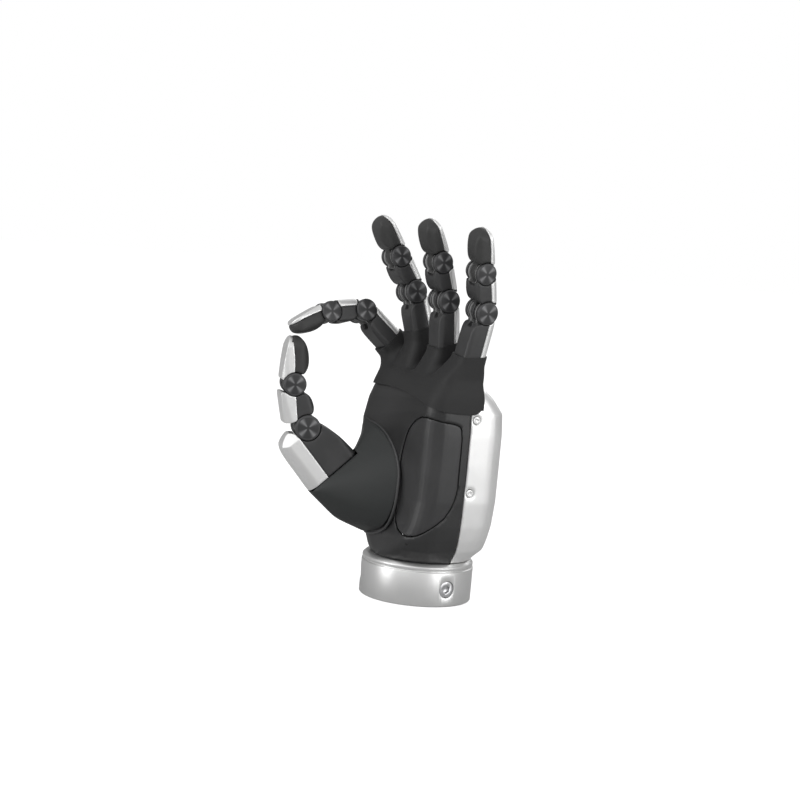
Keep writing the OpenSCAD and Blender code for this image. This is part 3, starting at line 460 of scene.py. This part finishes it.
def dressNodes():
    silver, steel = satinMetal("satin aluminium"), satinMetal("steel")
    plastic, shell = mouldedPlastic("dark plastic"), mouldedPlastic("shell plastic")
    pad = softRubber("pad rubber")
    looks = {
        "wrist_flange": turnedMetal("turned aluminium"), "control_board": circuitBoard(),
        "palm_pad": mouldedPlastic("palm pad"), "palm_cover": mouldedPlastic("shell plastic", dotted=True),
        "palm_chassis": shell, "back_shell": silver, "shell_screws": silver,
    }
    for name in steelNodes:
        looks[name] = steel
    for finger in fingers:
        for kind in ("pip", "dip"):
            joint = finger + "_" + kind
            looks[joint + "_axle"] = turnedDisc(joint + " disc", joints[joint], discLook["radius"][kind])
        pip, dip = ("pip", joints[finger + "_pip"]), ("dip", joints[finger + "_dip"])
        looks[finger + "_proximal"] = mouldedPlastic("dark plastic", finger + " first link", hinges=[pip])
        looks[finger + "_middle"] = mouldedPlastic("dark plastic", finger + " middle link", hinges=[pip, dip])
    for kind in ("mcp", "ip"):
        joint, radius = joints["thumb_" + kind], discLook["radius"][kind]
        looks["thumb_" + kind + "_axle"] = turnedDisc("thumb " + kind + " disc", joint, radius)
    for name in nodes:
        other = silver if name.endswith("_back") else pad if name.endswith("_distal") else plastic
        shown = nodes[name] if name in hiddenNodes else softEdged(name)
        shown.data.materials.clear()
        shown.data.materials.append(looks.get(name, other))
    print("finishes on", len(nodes), "CAD nodes")


# surroundings

floorSettings = {
    "size": 8, "height": -0.0002, "glow": 0.82,
    "look": {"Base Color": (0.5, 0.5, 0.5), "Roughness": 0.9, "Specular IOR Level": 0.1},
}
roomLight = {"far": 0.26, "near": 0.8, "seen": 1.0}  # behind the hand, on the viewer's side, to the camera


def addSurroundings():
    bpy.ops.mesh.primitive_plane_add(size=floorSettings["size"], location=(0, 0, floorSettings["height"]))
    floor = bpy.context.object
    floor.name = "floor"
    paint = Paint("floor", floorSettings["look"])
    rays = paint.node("ShaderNodeLightPath", output="Is Camera Ray")
    paint.put(paint.shader.inputs["Emission Color"], (1, 1, 1))
    paint.put(paint.shader.inputs["Emission Strength"], rays * floorSettings["glow"])
    floor.data.materials.append(paint.material)
    world = bpy.data.worlds.new("world")
    bpy.context.scene.world = world
    world.use_nodes = True
    tree = world.node_tree
    background = tree.nodes["Background"]
    background.inputs["Color"].default_value = (1, 1, 1, 1)
    lightPath = tree.nodes.new("ShaderNodeLightPath")
    facing = tree.nodes.new("ShaderNodeVectorMath")  # the room is lighter on the side of the view
    facing.operation = "DOT_PRODUCT"
    facing.inputs[1].default_value = viewAxes()[2]
    tree.links.new(tree.nodes.new("ShaderNodeTexCoord").outputs["Generated"], facing.inputs[0])
    room = tree.nodes.new("ShaderNodeMapRange")
    room.inputs["From Min"].default_value = -1
    room.inputs["To Min"].default_value = roomLight["far"]
    room.inputs["To Max"].default_value = roomLight["near"]
    tree.links.new(facing.outputs["Value"], room.inputs["Value"])
    strength = tree.nodes.new("ShaderNodeMapRange")
    strength.inputs["To Max"].default_value = roomLight["seen"]
    tree.links.new(room.outputs[0], strength.inputs["To Min"])
    tree.links.new(lightPath.outputs["Is Camera Ray"], strength.inputs["Value"])
    tree.links.new(strength.outputs[0], background.inputs["Strength"])
    bpy.context.scene.view_settings.view_transform = "Standard"


# shaping

barSides, cornerSides = 48, 32  # facets of round bars and of rounded corners
sheetThickness = 0.1  # mm, of the slices that hulls are stretched over


def alone(obj):
    bpy.ops.object.select_all(action="DESELECT")
    obj.select_set(True)
    bpy.context.view_layer.objects.active = obj


def moved(obj, place):  # puts a shape where the matrix says, with its place in its mesh
    obj.data.transform(place @ obj.matrix_world)
    obj.matrix_world = Matrix.Identity(4)
    return obj


def block(low, high, place=Matrix.Identity(4)):  # box between two corners, in mm
    low, high = Vector(low) * mm, Vector(high) * mm
    bpy.ops.mesh.primitive_cube_add(size=1, location=(low + high) / 2)
    obj = bpy.context.object
    obj.scale = high - low
    bpy.context.view_layer.update()
    return moved(obj, place)


def bar(radius, width, place):  # cylinder along X, in mm
    bpy.ops.mesh.primitive_cylinder_add(radius=radius * mm, depth=width * mm, vertices=barSides,
                                        rotation=(0, math.pi / 2, 0))
    bpy.context.view_layer.update()
    return moved(bpy.context.object, place)


def slab(corners, low, high, place=Matrix.Identity(4)):  # rounded plate: corners are x, y, radius, in mm
    posts = []
    for x, y, radius in corners:
        bpy.ops.mesh.primitive_cylinder_add(radius=radius * mm, depth=(high - low) * mm, vertices=cornerSides,
                                            location=(x * mm, y * mm, (low + high) / 2 * mm))
        bpy.context.view_layer.update()
        posts.append(moved(bpy.context.object, place))
    return joined(posts)


def sheet(corners, low, place=Matrix.Identity(4)):
    return slab(corners, low, low + sheetThickness, place)


def roundCorners(x0, x1, y0, y1, radius):
    return [(x, y, radius) for x in (x0 + radius, x1 - radius) for y in (y0 + radius, y1 - radius)]


def joined(objects):
    bpy.ops.object.select_all(action="DESELECT")
    for obj in objects:
        obj.select_set(True)
    bpy.context.view_layer.objects.active = objects[0]
    if len(objects) > 1:
        bpy.ops.object.join()
    return objects[0]


def hull(objects):  # the shape that a sheet stretched round the objects would have
    obj = joined(objects)
    alone(obj)
    bpy.ops.object.mode_set(mode="EDIT")
    bpy.ops.mesh.select_all(action="SELECT")
    bpy.ops.mesh.convex_hull()
    bpy.ops.object.mode_set(mode="OBJECT")
    return obj


def applied(obj, kind, **settings):
    alone(obj)
    modifier = obj.modifiers.new(kind.lower(), kind)
    for name, value in settings.items():
        setattr(modifier, name, value)
    bpy.ops.object.modifier_apply(modifier=modifier.name)
    return obj


def softened(obj, voxel, rounds):  # one smooth form from one shape or from overlapping ones
    applied(obj, "REMESH", mode="VOXEL", voxel_size=voxel * mm, use_smooth_shade=True)
    return applied(obj, "SMOOTH", iterations=rounds, factor=0.5)


def cut(obj, cutter, operation="DIFFERENCE", keep=False):
    applied(obj, "BOOLEAN", operation=operation, object=cutter, solver="MANIFOLD")
    if not keep:
        bpy.data.objects.remove(cutter)


def copied(obj, name):
    twin = obj.copy()
    twin.data = obj.data.copy()
    twin.name = twin.data.name = name
    bpy.context.scene.collection.objects.link(twin)
    return twin


def sliced(obj, point, normal):  # keeps the side that the normal points away from
    alone(obj)
    bpy.ops.object.mode_set(mode="EDIT")
    bpy.ops.mesh.select_all(action="SELECT")
    bpy.ops.mesh.bisect(plane_co=point, plane_no=normal, use_fill=True, clear_outer=True)
    bpy.ops.object.mode_set(mode="OBJECT")
    return obj


def smoothShaded(obj, angle):
    alone(obj)
    bpy.ops.object.shade_smooth_by_angle(angle=math.radians(angle))


def frameOf(pin, up, origin):  # matrix with X along the pin and Z along up
    pin, up = Vector(pin).normalized(), Vector(up).normalized()
    turn = Matrix((pin, up.cross(pin), up)).transposed().to_4x4()
    turn.translation = origin
    return turn


def knucklePlaces(finger):  # the knuckle's frame in the palm, and the finger's first link's frame
    root, middle = joints[finger + "_mcp"], joints[finger + "_pip"]
    origin, pin = Vector(root["pos_m"]), Vector(root["axis"])
    upright = Vector((-pin.z, 0, pin.x))
    link = (Vector(middle["pos_m"]) - origin).normalized()
    return frameOf(pin, upright, origin), frameOf(pin, link, origin)


def sidePlate(points, width, place):  # plate across X with an outline of y, z, in mm
    bpy.ops.mesh.primitive_plane_add(size=1)
    obj = bpy.context.object
    obj.data.clear_geometry()
    obj.data.from_pydata([(-width / 2 * mm, y * mm, z * mm) for y, z in points], [], [list(range(len(points)))])
    alone(obj)
    bpy.ops.object.mode_set(mode="EDIT")
    bpy.ops.mesh.select_all(action="SELECT")
    bpy.ops.mesh.extrude_region_move(TRANSFORM_OT_translate={"value": (width * mm, 0, 0)})
    bpy.ops.mesh.select_all(action="SELECT")
    bpy.ops.mesh.normals_make_consistent(inside=False)
    bpy.ops.object.mode_set(mode="OBJECT")
    return moved(obj, place)


shellFoot = 31  # mm, height where the copy of the shells is cut off


def shellBody():  # the two palm shells as one solid form
    obj = joined([merged(name, "shellCopy") for name in ("palm_cover", "back_shell")])
    sliced(obj, (0, 0, shellFoot * mm), (0, 0, -1))
    return hull([obj])


# knuckle skin and its sleeves

knuckleSettings = {  # lengths in mm
    "rings": [  # height, then the two sides, the two front depths, the depth behind and the corner radius
        (108, 40.1, 38.4, 22.3, 25, 12.4, 9),
        (119, 40.3, 37.7, 20.5, 22.8, 12.6, 9),
        (129, 38.9, 34.6, 14.6, 19.6, 10.6, 8),
    ],
    "ringBack": 3.5,  # corner radius behind
    "hem": [  # lower edge seen from the front
        (-60, 90), (60, 90), (60, 109), (39, 109), (38, 112.4), (33.5, 113.4), (25, 115.1), (16.4, 116.5),
        (6.7, 117.9), (-1, 118.5), (-13, 118.7), (-24, 118.1), (-60, 117),
    ],
    "hemWidth": 120,
    "sideHem": [  # and seen from the little finger's side
        (-30, 100), (20, 100), (20, 116), (12, 116), (9.6, 113), (7.6, 111), (5, 110), (2, 109.8),
        (-6, 110.2), (-14, 111.2), (-22, 112.4), (-30, 113),
    ],
    "sideHemWidth": 20, "sideHemPlace": 48,
    "roots": {  # the sides and front depth of each finger's root at the rings' top
        "index": (-34.6, -18.8, 19.4), "middle": (-21.2, -2, 17.6), "ring": (0.6, 19.8, 16),
        "little": (19.8, 38.9, 14.6),
    },
    "rootBack": 12, "rootCorner": 4.5,
    "ball": {"index": 9.1, "middle": 8.5, "ring": 8.5, "little": 8.5}, "ballTrim": 0.8, "ballRim": 3.5,
    "valleys": [  # rise above the rings, half width, front, back and corner radius
        (-0.1, 6, -13.5, 9, 3),
        (3, 4, -7, 7.5, 3),
    ],
    "section": (-7.8, 7.8, -7.55, 8.35, 4.3), "sectionEnd": 29.9, "merge": 17,  # a sleeve's outside
    "sleeveEnd": {"index": (21, 0), "middle": (22.6, 3), "ring": (19.5, 11), "little": (19, 11)},
    "sleeveTrim": ((-30, -30, 0), (30, 30, 60)),
    "bore": (-7.4, 7.4, -7.1, 7.9, 4.1), "sleeveBore": (1, 60), "palmBore": (0, 20),  # room for the link
    "sleeveLug": (7.6, 15.3), "palmLug": (7.6, 15),  # radius and width of the room for the knuckle
    "cavity": [(118, (-34.5, 36.1, -15.5, 10, 6)), (128, (-32.1, 35.5, -11, 8, 5))],  # heights and outlines
    "zone": ((-60, -50, 90), (60, 50, 190)),
    "blend": (0.001, 0.010),  # where the turn begins and ends along the finger, in m
    "web": (1.0, 26), "skin": (0.6, 9),  # voxel size and rounds of smoothing
}


def hemCutter(points):  # plate through the palm with an outline of x, z
    return sidePlate(points, knuckleSettings["hemWidth"], Matrix.Rotation(-math.pi / 2, 4, "Z"))


def ringSlab(z, little, thumb, frontLittle, frontThumb, behind, r):
    back = knuckleSettings["ringBack"]
    return sheet([(little - r, r - frontLittle, r), (r - thumb, r - frontThumb, r),
                  (little - back, behind - back, back), (back - thumb, behind - back, back)], z)


def knob(radius, width, rounding, place):  # cylinder along X with rounded rims
    turns = [math.radians(a) for a in (0, 30, 60, 90)]
    return [bar(radius - rounding * (1 - math.sin(a)), width - 2 * rounding * (1 - math.cos(a)), place)
            for a in turns]


def knuckleForm():
    look = knuckleSettings
    top = look["rings"][-1][0]
    parts, columns, centres = [hull([ringSlab(*ring) for ring in look["rings"]])], [], []
    for finger in fingers:
        splay, link = knucklePlaces(finger)
        thumbSide, littleSide, front = look["roots"][finger]
        ball = look["ball"][finger]
        width = 2 * ball - look["ballTrim"]
        end = sheet(roundCorners(*look["section"]), look["sectionEnd"], link)
        columns.append(hull(knob(ball, width, look["ballRim"], splay) + [end]))
        low = sheet(roundCorners(thumbSide, littleSide, -front, look["rootBack"], look["rootCorner"]),
                    top - sheetThickness)
        high = sheet(roundCorners(*look["section"]), look["merge"] - sheetThickness, link)
        parts.append(hull(knob(ball, width, look["ballRim"], splay) + [low, high]))
        parts.append(copied(columns[-1], "column"))
        centres.append(splay.translation.x / mm)
    for a, b in zip(centres, centres[1:]):
        x = (a + b) / 2
        parts.append(hull([sheet(roundCorners(x - half, x + half, front, behind, corner), top + rise)
                           for rise, half, front, behind, corner in look["valleys"]]))
    webs = softened(joined(parts), *look["web"])
    return softened(joined([webs] + columns), *look["skin"])


def knuckleSkin(body, rubber):
    look = knuckleSettings
    form = knuckleForm()
    palm = copied(form, "knuckleSkin")
    places = [knucklePlaces(finger) for finger in fingers]
    # the planes between neighbouring fingers stand across the mean of their pins
    middles = [((a[0].translation + b[0].translation) / 2, (a[0].col[0] + b[0].col[0]).to_3d().normalized())
               for a, b in zip(places, places[1:])]
    for number, (finger, (splay, link)) in enumerate(zip(fingers, places)):
        along = (splay.col[2].to_3d() + link.col[2].to_3d()).normalized()
        start, end = [splay.translation + along * reach for reach in look["blend"]]
        zone = sliced(block(*look["zone"]), start, -along)
        if number > 0:
            point, normal = middles[number - 1]
            sliced(zone, point, -normal)
        if number < len(middles):
            point, normal = middles[number]
            sliced(zone, point, normal)
        sleeve = copied(form, finger + "Sleeve")
        cut(sleeve, zone, "INTERSECT", keep=True)
        cut(palm, zone)
        reach, tilt = look["sleeveEnd"][finger]
        lean = Matrix.Translation((0, 0, reach * mm)) @ Matrix.Rotation(math.radians(tilt), 4, "X")
        cut(sleeve, block(*look["sleeveTrim"], link @ lean))
        cut(sleeve, hull([slab(roundCorners(*look["bore"]), *look["sleeveBore"], link)]))
        cut(sleeve, bar(*look["sleeveLug"], splay))
        finishedSkin(sleeve, rubber)
        finger + "_proximal_body"
        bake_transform(sleeve)
    bpy.data.objects.remove(form)
    cut(palm, body, keep=True)
    cut(palm, hemCutter(look["hem"]))
    side = Matrix.Translation((look["sideHemPlace"] * mm, 0, 0))
    cut(palm, sidePlate(look["sideHem"], look["sideHemWidth"], side))
    cut(palm, hull([sheet(roundCorners(*corners), height) for height, corners in look["cavity"]]))
    for splay, link in places:
        cut(palm, bar(*look["palmLug"], splay))
        cut(palm, hull([slab(roundCorners(*look["bore"]), *look["palmBore"], link)]))
    finishedSkin(palm, rubber)
    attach(palm, "base")
    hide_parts("knuckle_skin")


skinShading = 40  # degrees


def finishedSkin(obj, material):
    obj.data.materials.clear()
    obj.data.materials.append(material)
    smoothShaded(obj, skinShading)
    print(obj.name + ":", len(obj.data.polygons), "faces")


# thumb skin

thumbSettings = {  # lengths in mm, angles in degrees
    "seam": [(-37, 38), (-37.6, 66), (-37, 95), (-24, 96.4), (-9.6, 93.4), (3.4, 84.6), (10.4, 74), (12.8, 63),
             (12.2, 51), (6.4, 40.6), (-7, 34.6), (-24, 33.5)],  # the rubber's edge on the front of the palm
    "seamSteps": 3, "seamFrom": -31, "seamBack": -10, "seamSlabs": [(22.5, 38.5), (26.9, -16)],
    "post": (8.2, 57, (-31, -18.7, 65.5)), "flank": ((-39.7, -18, 40), (0, -1.5, 88)),
    "rootBars": [(18.6, 15), (10.6, 27.4)],  # radius and width round the root's pin
    "end": 16.2, "endLean": -3, "endSection": (-9.4, 9.4, -20.8, 13.8, 5),
    "endTrim": ((-20, -40, 0), (20, 14.2, 60)),
    "saddle": [(13.2, 80), (13.2, 17), (14.3, 17.2), (17.4, 18.2), (24.4, 22.1), (30.2, 28.1), (40, 42),
               (60, 60), (60, 80)],
    "saddleTurn": -14.4, "saddleWidth": 80,
    "voxel": 0.8, "rounds": 16, "wall": 1.6,
    "bore": (-8.6, 8.6, -20.4, 13.4, 4.5), "boreSpan": (15, 60),  # room for the metacarpal
    "rootBore": (-7.9, 7.9, -11.4, 11.1, 4.5), "rootBoreStart": -2,
    "stops": (-23, -32, -42),  # y where the two joints' turns begin and end
    "stopLine": (-0.02, 0.06),  # and their x and z, in m
    "outer": ((-90, -110, 0), (60, 130)),
}


def smoothLine(points, steps):  # closed Catmull-Rom curve
    count, line = len(points), []
    for i in range(count):
        a, b, c, d = (Vector(points[(i + k) % count]) for k in (-1, 0, 1, 2))
        for k in range(steps):
            t = k / steps
            line.append(0.5 * (2 * b + (c - a) * t + (2 * a - 5 * b + 4 * c - d) * t * t
                               + (3 * b - a - 3 * c + d) * t * t * t))
    return line


def seamSlab(depth, xMax):  # what the seam encloses, from inside the palm to its front
    look = thumbSettings
    line = smoothLine(look["seam"], look["seamSteps"])
    obj = hemCutter([(max(look["seamFrom"], min(p.x, xMax)), p.y) for p in line])
    for vertex in obj.data.vertices:
        vertex.co.y = look["seamBack"] * mm if vertex.co.y > 0 else -depth * mm
    return obj


def thumbPlaces():  # frames of the root joint and of the metacarpal, palmar side -Y
    root, tip = joints["thumb_flex"], joints["thumb_mcp"]
    pin = Vector(root["axis"])
    if pin.x < 0:
        pin = -pin
    origin = Vector(root["pos_m"])
    link = (Vector(tip["pos_m"]) - origin).normalized()
    return frameOf(pin, (0, 0, 1), origin), frameOf(pin, link, origin)


def thumbEnd(meta):  # frame of the open end where the metacarpal comes out
    lean = Matrix.Rotation(math.radians(-thumbSettings["endLean"]), 4, "X")
    return meta @ Matrix.Translation((0, 0, thumbSettings["end"] * mm)) @ lean


def thumbForm():
    look = thumbSettings
    root, meta = thumbPlaces()
    parts = [seamSlab(*size) for size in look["seamSlabs"]]
    radius, height, middle = look["post"]
    bpy.ops.mesh.primitive_cylinder_add(radius=radius * mm, depth=height * mm, vertices=barSides,
                                        location=[v * mm for v in middle])
    parts.append(bpy.context.object)
    parts.append(block(*look["flank"]))
    parts += [bar(*size, root) for size in look["rootBars"]]
    parts.append(sheet(roundCorners(*look["endSection"]), -sheetThickness, thumbEnd(meta)))
    form = hull(parts)
    # saddle between the thumb and the palm, drawn in the link's frame with its palmar side towards +Y
    lying = Matrix.Rotation(math.radians(look["saddleTurn"]), 4, "Y")
    cut(form, sidePlate(look["saddle"], look["saddleWidth"], meta @ lying))
    return softened(form, look["voxel"], look["rounds"])


def thumbSkin(body, rubber):
    look = thumbSettings
    meta = thumbPlaces()[1]
    form = thumbForm()
    inner = copied(form, "inner")
    applied(inner, "DISPLACE", strength=-look["wall"] * mm, mid_level=0.0)
    cut(form, block(*look["endTrim"], thumbEnd(meta)))
    palm = copied(form, "thumbSkin")
    bpy.data.objects.remove(form)
    cut(palm, inner)
    cut(palm, body, keep=True)
    cut(palm, hull([slab(roundCorners(*look["bore"]), *look["boreSpan"], meta),
                    sheet(roundCorners(*look["rootBore"]), look["rootBoreStart"], meta)]))
    # the part over the thumb's root is cut off as a piece of its own
    low, (right, top) = look["outer"]
    outer = block(low, (right, look["stops"][1], top))
    sleeve = copied(palm, "thumbSleeve")
    cut(sleeve, outer, "INTERSECT", keep=True)
    cut(palm, outer)
    finishedSkin(palm, rubber)
    finishedSkin(sleeve, rubber)
    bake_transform(palm)
    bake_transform(sleeve)
    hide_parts("thumb_skin")


# raised rim of the cover round the thumb's skin, in mm

lipSettings = {"radius": 0.9, "resolution": 3, "from": -30, "sink": 0.25, "steps": 3, "before": -100}


def seamLip(body, plastic):
    look = lipSettings
    line = []
    for p in smoothLine(thumbSettings["seam"], look["steps"]):
        struck, place = body.ray_cast(Vector((p.x * mm, look["before"] * mm, p.y * mm)), Vector((0, 1, 0)))[:2]
        if struck and p.x > look["from"]:
            line.append(place + Vector((0, look["sink"] * mm, 0)))
    data = bpy.data.curves.new("seamLip", "CURVE")
    data.dimensions, data.use_fill_caps = "3D", True
    data.bevel_depth, data.bevel_resolution = look["radius"] * mm, look["resolution"]
    spline = data.splines.new("POLY")
    spline.points.add(len(line) - 1)
    for point, place in zip(spline.points, line):
        point.co = (*place, 1)
    lip = bpy.data.objects.new("seamLip", data)
    bpy.context.scene.collection.objects.link(lip)
    alone(lip)
    bpy.ops.object.convert(target="MESH")
    lip = bpy.context.object
    finishedSkin(lip, plastic)
    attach(lip, "base")


addCamera()
addLamps()
addSurroundings()
print("camera, lamps and surroundings placed")
dressNodes()
body = shellBody()
knuckleSkin(body, softRubber("knuckle rubber"))
thumbSkin(body, softRubber("thenar rubber"))
seamLip(body, mouldedPlastic("dark plastic"))
bpy.data.objects.remove(body)
print("pieces made")
